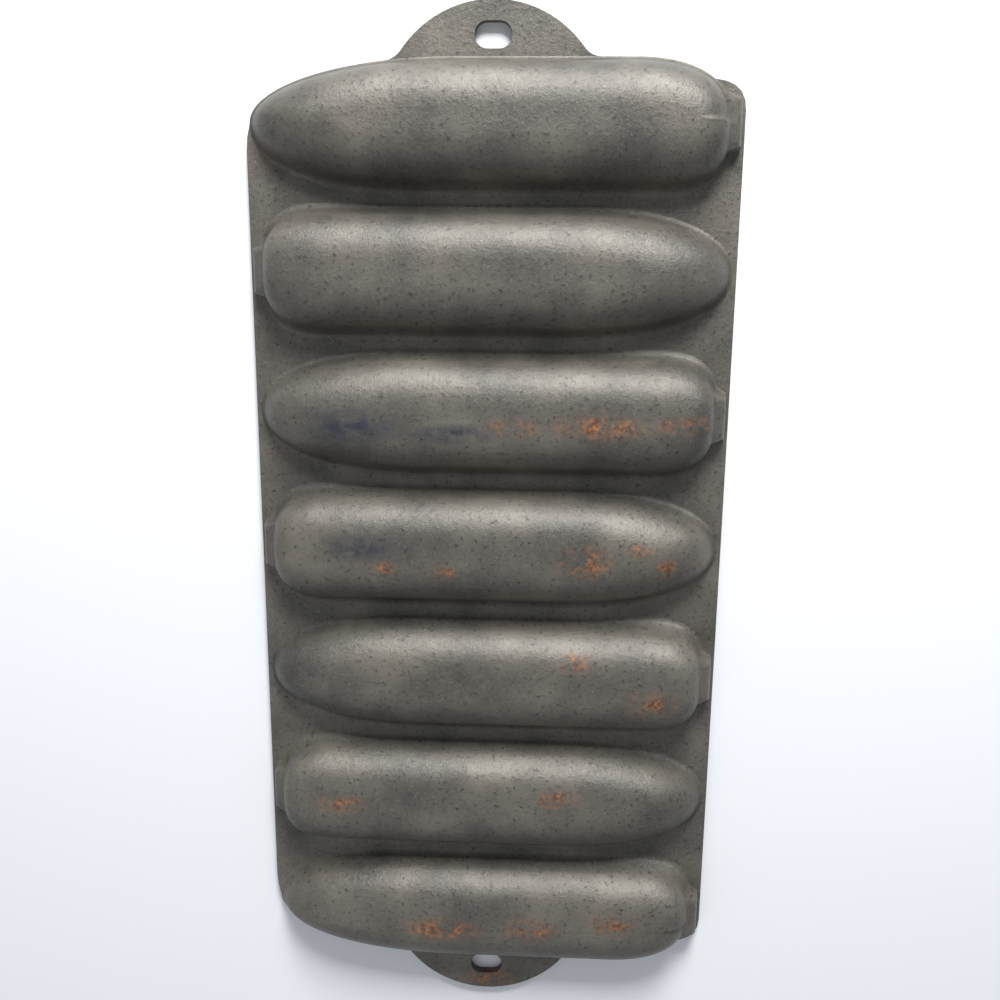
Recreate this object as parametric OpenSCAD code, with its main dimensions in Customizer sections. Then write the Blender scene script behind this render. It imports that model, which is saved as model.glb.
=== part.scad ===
// Cast iron corn stick pan, lying face down on its rim as it is stored.
// Seven ear shaped cups stand up out of a thin plate, side by side, each one
// turned the other way round, with a round hang tab at each end of the row.
// X runs along the ears, Y along the row of cups and Z up from the rim.
// Every cup is an open shell: the hollow under it is an ear of corn, sunk into
// the iron kernel by kernel.

/* [Pan] */
// Width of the plate, along the ears
pan_w = 147; // [143:1:156]
// Distance from one cup's centre line to the next
cup_pitch = 42.7; // [42:0.1:46]
// Thickness of the plate and of the hang tabs
plate_t = 3; // [2.5:0.1:4]
// Height of the crests of the cups above the rim
pan_h = 17; // [16:0.5:22]
// Land between the end of a cup and the side of the plate
end_land = 1.2; // [0.8:0.1:3]

/* [Cups] */
// Width of a cup's wall where it leaves the plate
cup_w = 34.2; // [31:0.1:35]
// Width of the flat strip along a crest
crest_w = 5; // [3:0.5:8]
// Roundness of a cup's cross section: 2 is an ellipse, more is squarer
section_n = 2.3; // [2:0.1:2.8]
// Iron between the bottom of a kernel and the outside
wall = 2.6; // [2:0.1:3]
// Length of the tapering tip
tip_l = 50; // [40:1:60]
// Roundness of the tip seen from above
tip_n = 2.25; // [2:0.05:2.6]
// Length over which the crest falls to the tip
tip_fall = 26; // [20:1:36]
// Length of the rounded blunt end
butt_l = 20; // [16:1:26]
// Roundness of the blunt end seen from above
butt_n = 3; // [2.2:0.1:3.4]
// Length over which the crest falls at the blunt end
butt_fall = 12; // [8:1:15]
// Width of the hollow fillet at the foot of a cup, in the grooves
fillet_w = 3.2; // [2:0.1:3.4]
// Height of that fillet
fillet_h = 5; // [4:0.5:6]
// Width of the slight flare at the ends of a cup and along the pan's two ends
skirt_w = 1.6; // [1:0.1:2]

/* [End cups] */
// Length of the tip on the side that is the end of the pan
end_tip_l = 60; // [50:1:64]
// Length of the blunt end on that side
end_butt_l = 28; // [22:1:30]
// Where the plate's corner leaves the end cup, from its blunt end
corner_x = 9; // [6:0.5:12]
// Height of the corner above the end cup's centre line
corner_y = 12; // [11:0.5:14]

/* [Stalk] */
// Width of the stub that holds the stalk, at the blunt end
stub_w = 19; // [16:0.5:21]
// How far the stub stands out from the blunt end
stub_reach = 2; // [1:0.1:3]
// Height of the stub above the rim
stub_h = 9; // [8:0.5:10]
// Radius of the stalk's hollow
stalk_r = 5; // [4:0.5:6]
// Iron at the end of the stalk's hollow
stalk_wall = 2.4; // [2:0.1:3]

/* [Kernels] */
// Rows of kernels, from one edge of the ear over to the other
kernel_rows = 7; // [5:1:8]
// Kernels in each row
kernel_count = 17; // [12:1:18]
// Depth of a kernel below the ridges round it
kernel_d = 1.2; // [0.6:0.1:1.5]
// Ridge between two kernels, as a share of a kernel
ridge_share = 0.2; // [0.12:0.01:0.3]

/* [Hang tabs] */
// Radius of a tab's edge
tab_r = 33.5; // [31:0.5:36]
// How far a tab stands out from the end cup
tab_reach = 15.4; // [14:0.2:18]
// Radius of the hollow corners at a tab's foot
tab_fillet = 6; // [3:0.5:8]
// Length of the hang hole, across the pan
hole_l = 11; // [9:0.5:14]
// Width of the hang hole
hole_w = 7.6; // [6:0.2:8]
// Iron between the hang hole and the end cup
hole_edge = 2.1; // [1.5:0.1:4]

/* [Hidden] */

iron = "#57534c";
iron_edge = "#4d4943";
through = 1;

cup_count = 7;
function cup_y(i) = ((cup_count + 1) / 2 - i) * cup_pitch;
// Which side of a cup is the end of the pan: 1, -1 or none
function end_side(i) = i == 1 ? 1 : i == cup_count ? -1 : 0;
function turned(i) = i % 2 == 0;

// Outside of a cup, as rings that rise from the rim to the crest
tip_steps = 9;
butt_steps = 5;
wall_steps = 5;
foot_levels = [0, 0.25, 0.6, 1];
end_butt_n = 2.3;
end_tip_n = 2;
stub_draft = 2;
stub_n = 2.5;

half_x = pan_w / 2 - end_land;
tip_end = -half_x;
butt_end = half_x - stub_reach;
rise = pan_h - plate_t;

// Falls from 1 to 0 as s goes from 0 to 1, as a rounded corner does
function fall(s, n) = pow(max(0, 1 - pow(max(0, s), n)), 1 / n);
// A point of that corner's curve, for an angle from 0 to 90
function corner(a, n) = [pow(max(0, cos(a)), 2 / n), pow(max(0, sin(a)), 2 / n)];
// How much wider a wall is at height z for its flare at the foot
function flare(z, w) =
    let (u = min(1, max(0, (plate_t + fillet_h - z) / fillet_h)))
    w * (1 - sqrt(1 - u * u));

// One side of the ring at height z, from the tip to the blunt end
function side_points(z, side, end) =
    let (
        outer = side == end,
        s = max(0, z - plate_t) / rise,
        t_n = outer ? end_tip_n : tip_n,
        b_n = outer ? end_butt_n : butt_n,
        half = crest_w / 2 + (cup_w - crest_w) / 2 * fall(s, section_n)
            + flare(max(z, plate_t), outer ? skirt_w : fillet_w),
        ends = flare(max(z, plate_t), skirt_w),
        t_l = (outer ? end_tip_l : tip_l),
        b_l = (outer ? end_butt_l : butt_l),
        t_x = tip_end + skirt_w + t_l,
        b_x = butt_end - skirt_w - b_l,
        t = t_l - tip_fall * (1 - fall(s, 2)) + ends,
        b = b_l - butt_fall * (1 - fall(s, butt_n)) + ends,
        foot_half = cup_w / 2 + (outer ? skirt_w : fillet_w),
        stub_share = min(0.9, stub_w / 2 / foot_half),
        face_share = stub_share * (1 - stub_draft / (stub_w / 2)),
        stub_up = max(0, z - plate_t) / (stub_h - plate_t),
        stub = stub_up < 1 ? fall(stub_up, stub_n) : 0,
        stub_a = acos(pow(stub_share, b_n / 2)),
        face_x = b_x + b * fall(face_share, b_n),
        mid_x = b_x + b
    )
    concat(
        [for (k = [0:tip_steps])
            let (c = corner(90 * k / tip_steps, t_n))
            [t_x - t * c[0], side * half * c[1], z]],
        [for (k = [0:butt_steps])
            let (c = corner(stub_a * k / butt_steps, b_n))
            [b_x + b * c[1], side * half * c[0], z]],
        [[face_x + stub * (half_x - face_x), side * half * face_share, z],
         [mid_x + stub * (half_x - mid_x), 0, z]]);

side_n = tip_steps + butt_steps + 4;
ring_n = 2 * (side_n - 1);

// A whole ring, against the clock seen from above, starting at the tip
function ring(z, end) =
    let (near = side_points(z, -1, end), far = side_points(z, 1, end))
    concat(near, [for (k = [side_n - 2:-1:1]) far[k]]);

foot_s = fillet_h / rise;
foot_a = asin(pow(foot_s, section_n / 2));
ring_levels = concat(
    [0],
    [for (f = foot_levels) plate_t + fillet_h * f],
    [for (j = [1:wall_steps])
        plate_t + rise * pow(sin(foot_a + (90 - foot_a) * j / wall_steps), 2 / section_n)]);

// Inside of a cup: an ear of corn, as arches across it from the tip on
in_tip = tip_end + skirt_w + wall;
in_butt = butt_end - skirt_w - wall;
in_half = cup_w / 2 - wall + 0.4;
in_h = pan_h - wall - kernel_d;
in_tip_l = tip_l - wall;
in_butt_l = butt_l - wall;
in_tip_fall = tip_fall - wall / 2;
in_butt_fall = butt_fall;
tip_gap = 3;
butt_gap = 2;
arch_n = kernel_rows + 1;
stalk_end = half_x - stalk_wall;

function in_width(x) =
    in_half * min(
        fall(1 - (x - in_tip) / in_tip_l, tip_n),
        fall(1 - (in_butt - x) / in_butt_l, butt_n));
function in_height(x) =
    in_h * min(
        fall(1 - (x - in_tip) / in_tip_fall, 2),
        fall(1 - (in_butt - x) / in_butt_fall, butt_n));
kernel_l = (in_butt - butt_gap - in_tip - tip_gap) / kernel_count;
function station(i) = in_tip + tip_gap + kernel_l * i;

// A point of the ear at x, a along from one edge (0) to the other (1), d deep
function ear_point(x, a, d = 0) =
    let (
        up = 180 * a,
        c = corner(up > 90 ? 180 - up : up, section_n),
        y = (up > 90 ? 1 : -1) * in_width(x) * c[0],
        z = in_height(x) * c[1],
        r = max(1, norm([y, z]))
    )
    [x, y * (1 + d / r), z * (1 + d / r)];

function arch(x, w, h) =
    [for (r = [0:kernel_rows])
        let (a = 180 * r / kernel_rows)
        [x, -w * cos(a), r == 0 || r == kernel_rows ? 0 : h * sin(a)]];

ridge_points = [for (i = [0:kernel_count], r = [0:kernel_rows])
    r == 0 || r == kernel_rows
        ? [station(i), (r == 0 ? -1 : 1) * in_width(station(i)), 0]
        : ear_point(station(i), r / kernel_rows)];
kernel_points = [for (i = [0:kernel_count - 1], r = [0:kernel_rows - 1], q = [0:3])
    let (
        u = q == 0 || q == 3 ? ridge_share : 1 - ridge_share,
        v = q < 2 ? ridge_share : 1 - ridge_share
    )
    ear_point(station(i) + u * kernel_l, (r + v) / kernel_rows, kernel_d)];
stalk_points = concat(
    arch(in_butt, stalk_r, stalk_r),
    arch(stalk_end, stalk_r, stalk_r));

ring_count = len(ring_levels);
ridge_at = ring_count * ring_n;
kernel_at = ridge_at + len(ridge_points);
stalk_at = kernel_at + len(kernel_points);
tip_at = stalk_at + len(stalk_points);
butt_at = tip_at + 1;

// Faces between two rows of points that start at a and b
function band(a, b, n, closed) =
    [for (k = [0:closed ? n - 1 : n - 2], half = [0, 1])
        let (m = (k + 1) % n)
        half == 0 ? [a + k, b + m, a + m] : [a + k, b + k, b + m]];
// Faces between two lines of points that both run from the tip to the blunt end
function stitch(p, a, b, flip, i = 0, j = 0) =
    let (more_a = i < len(a) - 1, more_b = j < len(b) - 1)
    !more_a && !more_b ? []
    : more_a && (!more_b || p[a[i + 1]][0] <= p[b[j + 1]][0])
        ? concat([flip ? [a[i], b[j], a[i + 1]] : [a[i], a[i + 1], b[j]]],
                 stitch(p, a, b, flip, i + 1, j))
        : concat([flip ? [a[i], b[j], b[j + 1]] : [a[i], b[j + 1], b[j]]],
                 stitch(p, a, b, flip, i, j + 1));

ring_faces = [for (j = [0:ring_count - 2]) each band(j * ring_n, (j + 1) * ring_n, ring_n, true)];
crest_face = [[for (k = [ring_n - 1:-1:0]) (ring_count - 1) * ring_n + k]];

function ridge(i, r) = ridge_at + i * arch_n + r;
function kernel(i, r, q) = kernel_at + (i * kernel_rows + r) * 4 + q;
// One kernel: four sloping sides round a flat bottom
function kernel_faces(i, r) =
    let (
        rim = [ridge(i, r), ridge(i + 1, r), ridge(i + 1, r + 1), ridge(i, r + 1)],
        low = [for (q = [0:3]) kernel(i, r, q)]
    )
    concat(
        [for (q = [0:3], half = [0, 1])
            let (m = (q + 1) % 4)
            half == 0 ? [rim[q], rim[m], low[m]] : [rim[q], low[m], low[q]]],
        [[low[0], low[1], low[2]], [low[0], low[2], low[3]]]);

inside_faces = concat(
    [for (i = [0:kernel_count - 1], r = [0:kernel_rows - 1]) each kernel_faces(i, r)],
    [for (r = [0:kernel_rows - 1]) [tip_at, ridge(0, r), ridge(0, r + 1)]],
    band(ridge(kernel_count, 0), stalk_at, arch_n, false),
    band(stalk_at, stalk_at + arch_n, arch_n, false),
    [for (r = [0:kernel_rows - 1]) [stalk_at + arch_n + r, butt_at, stalk_at + arch_n + r + 1]]);

function edge_line(r) = concat(
    [tip_at],
    [for (i = [0:kernel_count]) ridge(i, r)],
    [stalk_at + r, stalk_at + arch_n + r, butt_at]);
near_line = [for (k = [0:side_n - 1]) k];
far_line = concat([0], [for (k = [ring_n - 1:-1:side_n - 1]) k]);

module ear_cup(end) {
    points = concat(
        [for (z = ring_levels) each ring(z, end)],
        ridge_points, kernel_points, stalk_points,
        [[in_tip, 0, 0], [stalk_end, 0, 0]]);
    rim_faces = concat(
        stitch(points, near_line, edge_line(0), false),
        stitch(points, far_line, edge_line(kernel_rows), true));
    polyhedron(points, concat(ring_faces, crest_face, inside_faces, rim_faces));
}

module cup(i) {
    color(iron)
        translate([0, cup_y(i), 0])
            mirror([turned(i) ? 1 : 0, 0, 0])
                ear_cup(end_side(i));
}

// Plan of a cup where it meets the plate
function flat(points) = [for (p = points) [p[0], p[1]]];
function move_y(points, y) = [for (p = points) [p[0], p[1] + y]];

// Right hand corner of the plate beside an end cup, on one side of the pan
corner_steps = 5;
end_foot = flat(side_points(plate_t, 1, 1));
leave = len([for (p = end_foot) if (p[0] < butt_end - corner_x) p]);
function bend(a, b, c, t) = (1 - t) * (1 - t) * a + 2 * t * (1 - t) * b + t * t * c;
corner_curve = [for (k = [0:corner_steps])
    bend(end_foot[leave], [pan_w / 2, corner_y], [pan_w / 2, corner_y / 3], k / corner_steps)];
tip_shoulder = 8;
tip_curve = [[tip_end, 0], [-pan_w / 2 + end_land / 4, -tip_shoulder / 2], [-pan_w / 2, -tip_shoulder]];

// Half of the plate's edge, from the tip of the top cup round to the right side
top_edge = concat(
    [tip_curve[2], tip_curve[1]],
    flat(side_points(plate_t, -1, 1)),
    [for (k = [side_n - 2:-1:leave + 1]) end_foot[k]],
    corner_curve);
plate_half = move_y(top_edge, cup_y(1));
plate_edge = concat(plate_half, [for (k = [len(plate_half) - 1:-1:0]) [plate_half[k][0], -plate_half[k][1]]]);

function turn_over(points) = [for (k = [len(points) - 1:-1:0]) [-points[k][0], points[k][1]]];
function foot(i) =
    let (own = flat(ring(plate_t, 0)))
    move_y(turned(i) ? turn_over(own) : own, cup_y(i));

module plate() {
    color(iron)
        difference() {
            linear_extrude(plate_t)
                polygon(plate_edge);
            for (i = [2:cup_count - 1])
                translate([0, 0, -through])
                    linear_extrude(plate_t + 2 * through)
                        polygon(foot(i));
        }
}

// Hang tabs, in the top end cup's own place
end_half = cup_w / 2 + skirt_w;
tab_y = end_half + tab_reach - tab_r;
hollow_x = sqrt(pow(tab_r + tab_fillet, 2) - pow(end_half + tab_fillet - tab_y, 2));
hollow_a = atan2(end_half + tab_fillet - tab_y, hollow_x);
arc_steps = 24;
hollow_steps = 6;
function foot_y(x) = lookup(x, end_foot);
function tab_hollow(side) = [for (k = [0:hollow_steps])
    let (
        a = (90 - hollow_a) * k / hollow_steps + hollow_a,
        drop_y = (end_half - foot_y(side * hollow_x)) * k / hollow_steps
    )
    [side * (hollow_x - tab_fillet * cos(a)), end_half + tab_fillet - tab_fillet * sin(a) - drop_y]];
tab_arc = [for (k = [0:arc_steps])
    let (a = hollow_a + (180 - 2 * hollow_a) * k / arc_steps)
    [tab_r * cos(a), tab_y + tab_r * sin(a)]];
tab_root = [for (p = end_foot) if (abs(p[0]) < hollow_x) p];
tab_outline = concat(
    [for (k = [hollow_steps:-1:1]) tab_hollow(1)[k]],
    tab_arc,
    [for (k = [1:hollow_steps]) tab_hollow(-1)[k]],
    tab_root);
hole_y = end_half + hole_edge + hole_w / 2;

module hang_tab(side) {
    color(iron_edge)
        mirror([0, side < 0 ? 1 : 0, 0])
            translate([0, cup_y(1), 0])
                difference() {
                    linear_extrude(plate_t)
                        polygon(tab_outline);
                    translate([0, hole_y, -through])
                        hang_hole(plate_t + 2 * through);
                }
}

module hang_hole(h) {
    flat_l = hole_l - hole_w;
    for (side = [-1, 1])
        translate([side * flat_l / 2, 0, 0])
            cylinder(h = h, d = hole_w, $fn = 48);
    translate([-flat_l / 2, -hole_w / 2, 0])
        cube([flat_l, hole_w, h]);
}

plate();
cup(1);  // cup_1
cup(2);  // cup_2
cup(3);  // cup_3
cup(4);  // cup_4
cup(5);  // cup_5
cup(6);  // cup_6
cup(7);  // cup_7
hang_tab(1);  // hang_tab_top
hang_tab(-1);  // hang_tab_bottom
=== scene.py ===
"""Cast iron corn stick pan, lying face down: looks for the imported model."""
import math

import bpy
from mathutils import Matrix, Vector


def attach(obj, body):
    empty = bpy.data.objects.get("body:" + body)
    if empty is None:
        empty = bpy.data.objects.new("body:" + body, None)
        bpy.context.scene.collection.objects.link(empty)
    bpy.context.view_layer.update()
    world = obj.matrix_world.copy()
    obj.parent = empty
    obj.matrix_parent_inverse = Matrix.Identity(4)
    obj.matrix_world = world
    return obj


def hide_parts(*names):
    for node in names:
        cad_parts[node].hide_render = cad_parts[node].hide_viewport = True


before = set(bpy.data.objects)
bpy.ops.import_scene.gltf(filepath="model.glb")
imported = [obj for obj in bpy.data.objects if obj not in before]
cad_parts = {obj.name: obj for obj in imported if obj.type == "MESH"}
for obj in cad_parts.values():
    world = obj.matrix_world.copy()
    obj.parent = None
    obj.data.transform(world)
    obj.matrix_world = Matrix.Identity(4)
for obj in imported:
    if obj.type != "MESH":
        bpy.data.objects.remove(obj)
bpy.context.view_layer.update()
MM = 0.001

# Sizes of the pan in millimetres, as in the construction
PAN_W = 147.0
PITCH = 42.7
CUPS = 7
PLATE_T = 3.0
PAN_H = 17.0
END_LAND = 1.2
CUP_W = 34.2
CREST_W = 5.0
SECTION_N = 2.3
WALL = 2.6
TIP_FALL = 26.0
CREST_TIP_N = 2
BUTT_FALL = 12.0
FILLET_H = 5.0
STUB_W = 19.0
STUB_REACH = 2.0
STUB_H = 9.0
STUB_DRAFT = 2.0
STUB_N = 2.5
STALK_R = 5.0
STALK_WALL = 2.4
ROWS = 7
KERNELS = 17
KERNEL_D = 1.2
KERNEL_N = 4
KERNEL_SIDE = 0.6
SKIRT_W = 1.6
FILLET_W = 3.2
INNER = {"tip_l": 50.0, "tip_n": 2.25, "butt_l": 20.0, "butt_n": 3.0, "foot": FILLET_W}
OUTER = {"tip_l": 60.0, "tip_n": 2.0, "butt_l": 28.0, "butt_n": 2.3, "foot": SKIRT_W}
HALF_X = PAN_W / 2 - END_LAND
TIP_END = -HALF_X
BUTT_END = HALF_X - STUB_REACH
RISE = PAN_H - PLATE_T

# Fineness of the meshes
TIP_STEPS = 36
BUTT_STEPS = 20
STUB_STEPS = 6
WALL_LEVELS = 20
FILLET_LEVELS = 8
CELL = 6
RIM_STEP = 0.3
FILLET_SPREAD = 1.5
SHARP_ANGLE = 50


def fall(s, n):
    return max(0.0, 1 - max(0.0, s) ** n) ** (1 / n)


def corner(a, n):
    return max(0.0, math.cos(a)) ** (2 / n), max(0.0, math.sin(a)) ** (2 / n)


def flare(z, width):
    u = min(1.0, max(0.0, (PLATE_T + FILLET_H - z) / FILLET_H))
    return width * (1 - math.sqrt(1 - u * u))


def side_points(z, side, form):
    """One side of a cup's ring at height z, from the tip to the blunt end."""
    s = max(0.0, z - PLATE_T) / RISE
    level = max(z, PLATE_T)
    half = CREST_W / 2 + (CUP_W - CREST_W) / 2 * fall(s, SECTION_N) + flare(level, form["foot"])
    ends = flare(level, SKIRT_W)
    t_x = TIP_END + SKIRT_W + form["tip_l"]
    b_x = BUTT_END - SKIRT_W - form["butt_l"]
    t = form["tip_l"] - TIP_FALL * (1 - fall(s, CREST_TIP_N)) + ends
    b = form["butt_l"] - BUTT_FALL * (1 - fall(s, form["butt_n"])) + ends
    foot_half = CUP_W / 2 + form["foot"]
    stub_share = STUB_W / 2 / foot_half
    face_share = stub_share * (1 - STUB_DRAFT / (STUB_W / 2))
    stub = fall(max(0.0, z - PLATE_T) / (STUB_H - PLATE_T), STUB_N)
    stub_a = math.acos(stub_share ** (form["butt_n"] / 2))
    points = []
    for k in range(TIP_STEPS + 1):
        c, d = corner(math.pi / 2 * k / TIP_STEPS, form["tip_n"])
        points.append((t_x - t * c, side * half * d, z))
    for k in range(BUTT_STEPS + 1):
        c, d = corner(stub_a * k / BUTT_STEPS, form["butt_n"])
        points.append((b_x + b * d, side * half * c, z))
    for k in range(STUB_STEPS + 1):
        share = face_share * (1 - k / STUB_STEPS)
        x = b_x + b * fall(share, form["butt_n"])
        points.append((x + stub * (HALF_X - x), side * half * share, z))
    return points


def ring(z, near, far):
    return side_points(z, -1, near) + side_points(z, 1, far)[-2:0:-1]


# Hollow of a cup: an ear of corn, with plain iron past its first and last kernels
TIP_GAP = 3.0
BUTT_GAP = 2.0
EDGE_PLAY = 0.4
IN_TIP = TIP_END + SKIRT_W + WALL
IN_BUTT = BUTT_END - SKIRT_W - WALL
IN_HALF = CUP_W / 2 - WALL + EDGE_PLAY
IN_H = PAN_H - WALL - KERNEL_D
IN_TIP_L = INNER["tip_l"] - WALL
IN_BUTT_L = INNER["butt_l"] - WALL
IN_TIP_FALL = TIP_FALL - WALL / 2
STALK_END = HALF_X - STALK_WALL


def in_width(x):
    at_tip = fall(1 - (x - IN_TIP) / IN_TIP_L, INNER["tip_n"])
    at_butt = fall(1 - (IN_BUTT - x) / IN_BUTT_L, INNER["butt_n"])
    return IN_HALF * min(at_tip, at_butt)


def in_height(x):
    at_tip = fall(1 - (x - IN_TIP) / IN_TIP_FALL, CREST_TIP_N)
    at_butt = fall(1 - (IN_BUTT - x) / BUTT_FALL, INNER["butt_n"])
    return IN_H * min(at_tip, at_butt)


def kernel_depth(u, v):
    """Depth of the ear's surface inside one kernel, where u and v run from 0 to 1."""
    across = 1 - abs(2 * u - 1) ** KERNEL_N
    along = 1 - abs(2 * v - 1) ** KERNEL_N
    return KERNEL_D * (across * along) ** KERNEL_SIDE


def arch(x, w, h, n):
    points = []
    for r in range(n + 1):
        up = math.pi * r / n
        points.append((x, -w * math.cos(up), 0.0 if r in (0, n) else h * math.sin(up)))
    return points


def ear_arches():
    """The hollow of a cup as arches across it, from the tip to the stalk."""
    n = ROWS * CELL
    length = (IN_BUTT - BUTT_GAP - IN_TIP - TIP_GAP) / KERNELS
    arches = []
    for i in range(KERNELS * CELL + 1):
        x = IN_TIP + TIP_GAP + length * i / CELL
        line = []
        for r in range(n + 1):
            up = math.pi * r / n
            c, d = corner(math.pi - up if up > math.pi / 2 else up, SECTION_N)
            y = (1 if up > math.pi / 2 else -1) * in_width(x) * c
            z = in_height(x) * d
            if r in (0, n):
                line.append((x, y, 0.0))
                continue
            depth = kernel_depth((i % CELL) / CELL, (r % CELL) / CELL)
            grow = 1 + depth / max(1.0, math.hypot(y, z))
            line.append((x, y * grow, z * grow))
        arches.append(line)
    arches.append(arch(IN_BUTT, STALK_R, STALK_R, n))
    arches.append(arch(STALK_END, STALK_R, STALK_R, n))
    return arches


def stitch(points, a, b, flip):
    """Faces between two lines of points that both run from the tip to the blunt end."""
    faces = []
    i = j = 0
    while i < len(a) - 1 or j < len(b) - 1:
        step_a = i < len(a) - 1 and (j == len(b) - 1 or points[a[i + 1]][0] <= points[b[j + 1]][0])
        face = (a[i], b[j], a[i + 1]) if step_a else (a[i], b[j], b[j + 1])
        faces.append(face[::-1] if flip else face)
        i += step_a
        j += not step_a
    return faces


def cup_mesh(number):
    near = OUTER if number == CUPS else INNER
    far = OUTER if number == 1 else INNER
    foot_s = FILLET_H / RISE
    foot_a = math.asin(foot_s ** (SECTION_N / 2))
    levels = [0.0, PLATE_T - RIM_STEP, PLATE_T]
    for k in range(1, FILLET_LEVELS + 1):
        levels.append(PLATE_T + FILLET_H * (k / FILLET_LEVELS) ** FILLET_SPREAD)
    for k in range(1, WALL_LEVELS + 1):
        a = foot_a + (math.pi / 2 - foot_a) * k / WALL_LEVELS
        levels.append(PLATE_T + RISE * math.sin(a) ** (2 / SECTION_N))
    rings = [ring(z, near, far) for z in levels]
    count = len(rings[0])
    points = [p for line in rings for p in line]
    faces = []
    for j in range(len(rings) - 1):
        for k in range(count):
            m = (k + 1) % count
            faces.append((j * count + k, j * count + m, (j + 1) * count + m, (j + 1) * count + k))
    faces.append(tuple((len(rings) - 1) * count + k for k in range(count)))
    arches = ear_arches()
    start = len(points)
    n = len(arches[0])
    points += [p for line in arches for p in line]
    for i in range(len(arches) - 1):
        for r in range(n - 1):
            a = start + i * n + r
            faces.append((a, a + 1, a + n + 1, a + n))
    tip = len(points)
    points.append((IN_TIP, 0.0, 0.0))
    butt = len(points)
    points.append((STALK_END, 0.0, 0.0))
    last = start + (len(arches) - 1) * n
    for r in range(n - 1):
        faces.append((tip, start + r + 1, start + r))
        faces.append((last + r, last + r + 1, butt))
    half = (count + 2) // 2
    near_line = list(range(half))
    far_line = [0] + list(range(count - 1, half - 2, -1))
    near_edge = [tip] + [start + i * n for i in range(len(arches))] + [butt]
    far_edge = [tip] + [start + i * n + n - 1 for i in range(len(arches))] + [butt]
    faces += stitch(points, near_line, near_edge, False)
    faces += stitch(points, far_line, far_edge, True)
    return points, faces


def build_cup(number, iron):
    points, faces = cup_mesh(number)
    turn = -1 if number % 2 == 0 else 1
    y0 = ((CUPS + 1) / 2 - number) * PITCH
    if turn < 0:
        faces = [f[::-1] for f in faces]
    mesh = bpy.data.meshes.new(f"iron_cup_{number}")
    mesh.from_pydata([(turn * x * MM, (y + y0) * MM, z * MM) for x, y, z in points], [], faces)
    mesh.update()
    mesh.shade_smooth()
    mesh.set_sharp_from_angle(angle=math.radians(SHARP_ANGLE))
    cup = bpy.data.objects.new(f"iron_cup_{number}", mesh)
    bpy.context.scene.collection.objects.link(cup)
    mesh.materials.append(iron)
    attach(cup, "root")
    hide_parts(f"cup_{number}")


# Patches on the cups: place and half size in millimetres
RUST = [(7, 40, 7, 3), (33, 41, 14, 4), (58, 42, 8, 3), (47, 3, 5, 3), (55, -3, 5, 3), (30, -1, 8, 5),
        (-32, -4, 4, 2), (-13, -5, 4, 2), (52, -47, 8, 4), (28, -34, 5, 3), (-48, -85, 8, 3), (23, -81, 7, 3),
        (-15, -130, 13, 4), (15, -129, 9, 4), (42, -126, 8, 4), (1, -158, 8, 4)]
DARK = [(-42, 40, 15, 5), (-40, 2, 10, 4), (-10, 38, 12, 3)]


# How far out, in half sizes, a patch starts to show and is full
PATCH_EDGE = 1.3
PATCH_CORE = 0.2

# Colours of the iron and of what lies on it
IRON_DARK = (0.045, 0.043, 0.038)
IRON_LIGHT = (0.12, 0.11, 0.09)
IRON_WORN = (0.15, 0.142, 0.122)
PIT_COLOUR = (0.022, 0.022, 0.022)
SEASONING = (0.018, 0.022, 0.035)
RUST_DARK = (0.07, 0.032, 0.018)
RUST_BRIGHT = (0.3, 0.12, 0.045)

# The room
FLOOR_HALF = 3.0
PAPER = (0.6, 0.61, 0.63, 1.0)
SKY = (0.9, 0.93, 1.0, 1.0)
SKY_STRENGTH = 0.5

# The photograph's view: place in metres, turns in degrees, lens and sensor in millimetres
CAMERA_PLACE = (0.016844, 0.083261, 0.313107)
CAMERA_TILT = 12.3802
CAMERA_PAN = -2.4595
CAMERA_ROLL = -1.0949
CAMERA_LENS = 36.0
CAMERA_SENSOR = 36.0


def patch_mask(tree, place, patches):
    """How far a point lies inside the nearest patch, from 0 outside to 1 at a middle."""
    total = None
    for x, y, rx, ry in patches:
        shift = tree.nodes.new("ShaderNodeVectorMath")
        shift.operation = "SUBTRACT"
        shift.inputs[1].default_value = (x * MM, y * MM, 0.0)
        tree.links.new(place, shift.inputs[0])
        scale = tree.nodes.new("ShaderNodeVectorMath")
        scale.operation = "MULTIPLY"
        scale.inputs[1].default_value = (1 / (rx * MM), 1 / (ry * MM), 0.0)
        tree.links.new(shift.outputs[0], scale.inputs[0])
        length = tree.nodes.new("ShaderNodeVectorMath")
        length.operation = "LENGTH"
        tree.links.new(scale.outputs[0], length.inputs[0])
        fade = tree.nodes.new("ShaderNodeMapRange")
        fade.inputs["From Min"].default_value = PATCH_EDGE
        fade.inputs["From Max"].default_value = PATCH_CORE
        tree.links.new(length.outputs["Value"], fade.inputs["Value"])
        if total is None:
            total = fade.outputs[0]
            continue
        most = tree.nodes.new("ShaderNodeMath")
        most.operation = "MAXIMUM"
        tree.links.new(total, most.inputs[0])
        tree.links.new(fade.outputs[0], most.inputs[1])
        total = most.outputs[0]
    return total


def noise(tree, place, scale, detail=6.0, rough=0.6):
    node = tree.nodes.new("ShaderNodeTexNoise")
    node.inputs["Scale"].default_value = scale
    node.inputs["Detail"].default_value = detail
    node.inputs["Roughness"].default_value = rough
    tree.links.new(place, node.inputs["Vector"])
    return node.outputs["Fac"]


def ramp(tree, value, low, high):
    node = tree.nodes.new("ShaderNodeMapRange")
    node.inputs["From Min"].default_value = low
    node.inputs["From Max"].default_value = high
    tree.links.new(value, node.inputs["Value"])
    return node.outputs[0]


def times(tree, a, b):
    node = tree.nodes.new("ShaderNodeMath")
    node.operation = "MULTIPLY"
    tree.links.new(a, node.inputs[0])
    tree.links.new(b, node.inputs[1])
    return node.outputs[0]


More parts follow.
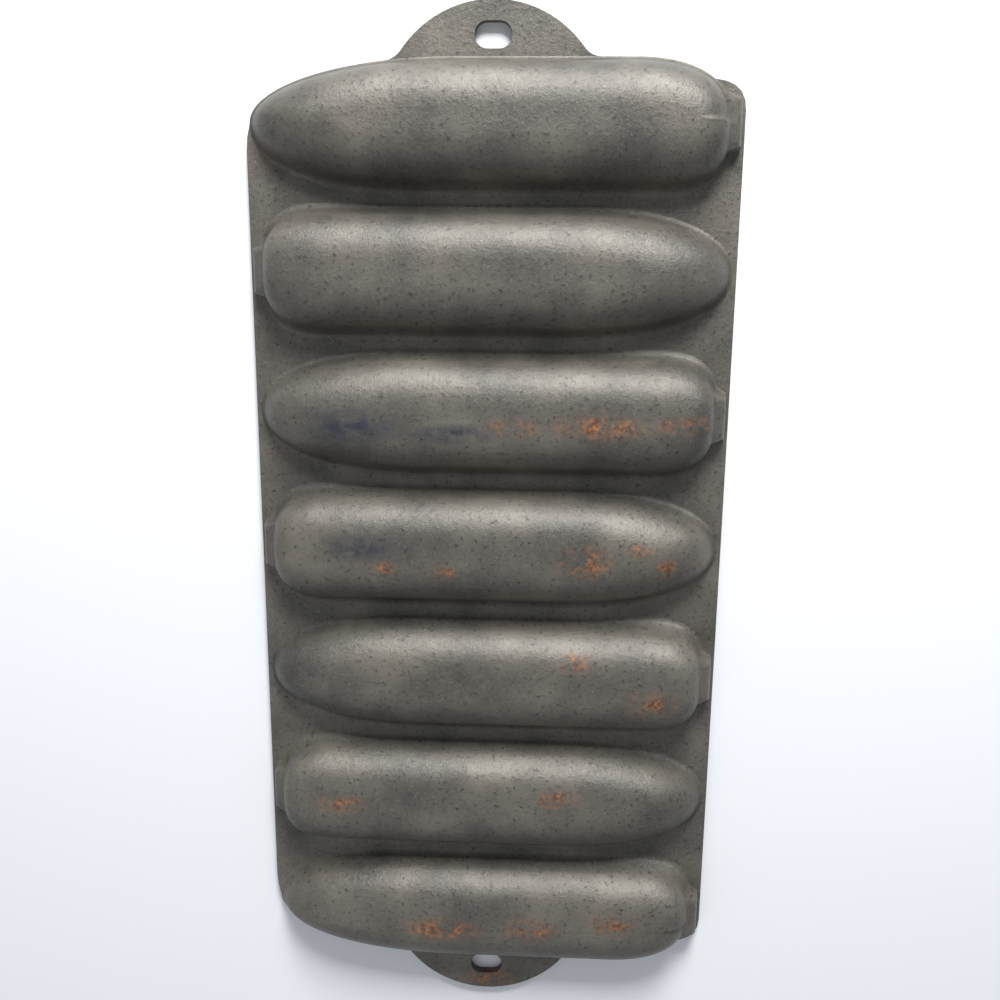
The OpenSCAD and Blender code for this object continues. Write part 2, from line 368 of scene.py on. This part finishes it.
def mix(tree, share, a, b):
    node = tree.nodes.new("ShaderNodeMix")
    node.data_type = "RGBA"
    tree.links.new(share, node.inputs["Factor"])
    for socket, value in ((node.inputs["A"], a), (node.inputs["B"], b)):
        if isinstance(value, tuple):
            socket.default_value = (*value, 1.0)
        else:
            tree.links.new(value, socket)
    return node.outputs["Result"]


def make_iron():
    iron = bpy.data.materials.new("seasoned_iron_look")
    iron.use_nodes = True
    tree = iron.node_tree
    shader = tree.nodes["Principled BSDF"]
    place = tree.nodes.new("ShaderNodeTexCoord").outputs["Object"]
    tone = ramp(tree, noise(tree, place, 45), 0.3, 0.7)
    colour = mix(tree, tone, IRON_DARK, IRON_LIGHT)
    worn = ramp(tree, noise(tree, place, 1500, 4), 0.56, 0.8)
    colour = mix(tree, worn, colour, IRON_WORN)
    pits = ramp(tree, noise(tree, place, 700, 5), 0.56, 0.72)
    colour = mix(tree, pits, colour, PIT_COLOUR)
    dark = times(tree, patch_mask(tree, place, DARK), ramp(tree, noise(tree, place, 180), 0.35, 0.55))
    colour = mix(tree, dark, colour, SEASONING)
    rust_kind = mix(tree, ramp(tree, noise(tree, place, 600, 4), 0.4, 0.62), RUST_DARK, RUST_BRIGHT)
    rust = times(tree, patch_mask(tree, place, RUST), ramp(tree, noise(tree, place, 260), 0.42, 0.6))
    colour = mix(tree, rust, colour, rust_kind)
    tree.links.new(colour, shader.inputs["Base Color"])
    rough = tree.nodes.new("ShaderNodeMapRange")
    rough.inputs["To Min"].default_value = 0.34
    rough.inputs["To Max"].default_value = 0.56
    tree.links.new(noise(tree, place, 260, 5), rough.inputs["Value"])
    tree.links.new(rough.outputs[0], shader.inputs["Roughness"])
    shader.inputs["Metallic"].default_value = 0.35
    coarse = tree.nodes.new("ShaderNodeBump")
    coarse.inputs["Strength"].default_value = 0.5
    coarse.inputs["Distance"].default_value = 0.0005
    tree.links.new(noise(tree, place, 700, 8, 0.75), coarse.inputs["Height"])
    tree.links.new(coarse.outputs[0], shader.inputs["Normal"])
    return iron


def make_floor():
    mesh = bpy.data.meshes.new("floor")
    corners = [(x * FLOOR_HALF, y * FLOOR_HALF, 0) for x, y in ((-1, -1), (1, -1), (1, 1), (-1, 1))]
    mesh.from_pydata(corners, [], [(0, 1, 2, 3)])
    floor = bpy.data.objects.new("floor", mesh)
    bpy.context.scene.collection.objects.link(floor)
    paper = bpy.data.materials.new("paper")
    paper.use_nodes = True
    shader = paper.node_tree.nodes["Principled BSDF"]
    shader.inputs["Base Color"].default_value = PAPER
    shader.inputs["Roughness"].default_value = 0.9
    mesh.materials.append(paper)


def area_light(name, place, target, size, power):
    light = bpy.data.lights.new(name, "AREA")
    light.size = size
    light.energy = power
    lamp = bpy.data.objects.new(name, light)
    lamp.location = place
    lamp.rotation_euler = (Vector(target) - Vector(place)).to_track_quat("-Z", "Y").to_euler()
    bpy.context.scene.collection.objects.link(lamp)


def make_camera():
    tilt = Matrix.Rotation(math.radians(CAMERA_TILT), 3, "X")
    pan = Matrix.Rotation(math.radians(CAMERA_PAN), 3, "Y")
    roll = Matrix.Rotation(math.radians(CAMERA_ROLL), 3, "Z")
    turn = (roll @ pan @ tilt).transposed()
    eye = bpy.data.cameras.new("camera")
    eye.lens = CAMERA_LENS
    eye.sensor_width = CAMERA_SENSOR
    eye.clip_start = 0.01
    camera = bpy.data.objects.new("camera", eye)
    camera.matrix_world = Matrix.Translation(CAMERA_PLACE) @ turn.to_4x4()
    bpy.context.scene.collection.objects.link(camera)
    bpy.context.scene.camera = camera


iron_look = make_iron()
for cup_number in range(1, CUPS + 1):
    build_cup(cup_number, iron_look)
for node_name in ("plate", "hang_tab_top", "hang_tab_bottom"):
    node_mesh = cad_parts[node_name].data
    node_mesh.materials.clear()
    node_mesh.materials.append(iron_look)

make_floor()
make_camera()
area_light("key", (0.1, 0.75, 0.46), (0, 0.02, 0), 0.3, 18)
area_light("fill", (-0.4, -0.5, 0.7), (0, 0, 0), 0.8, 1.5)
world = bpy.data.worlds.new("studio")
world.use_nodes = True
sky = world.node_tree.nodes["Background"]
sky.inputs["Color"].default_value = SKY
sky.inputs["Strength"].default_value = SKY_STRENGTH
bpy.context.scene.world = world
bpy.context.scene.view_settings.view_transform = "Standard"
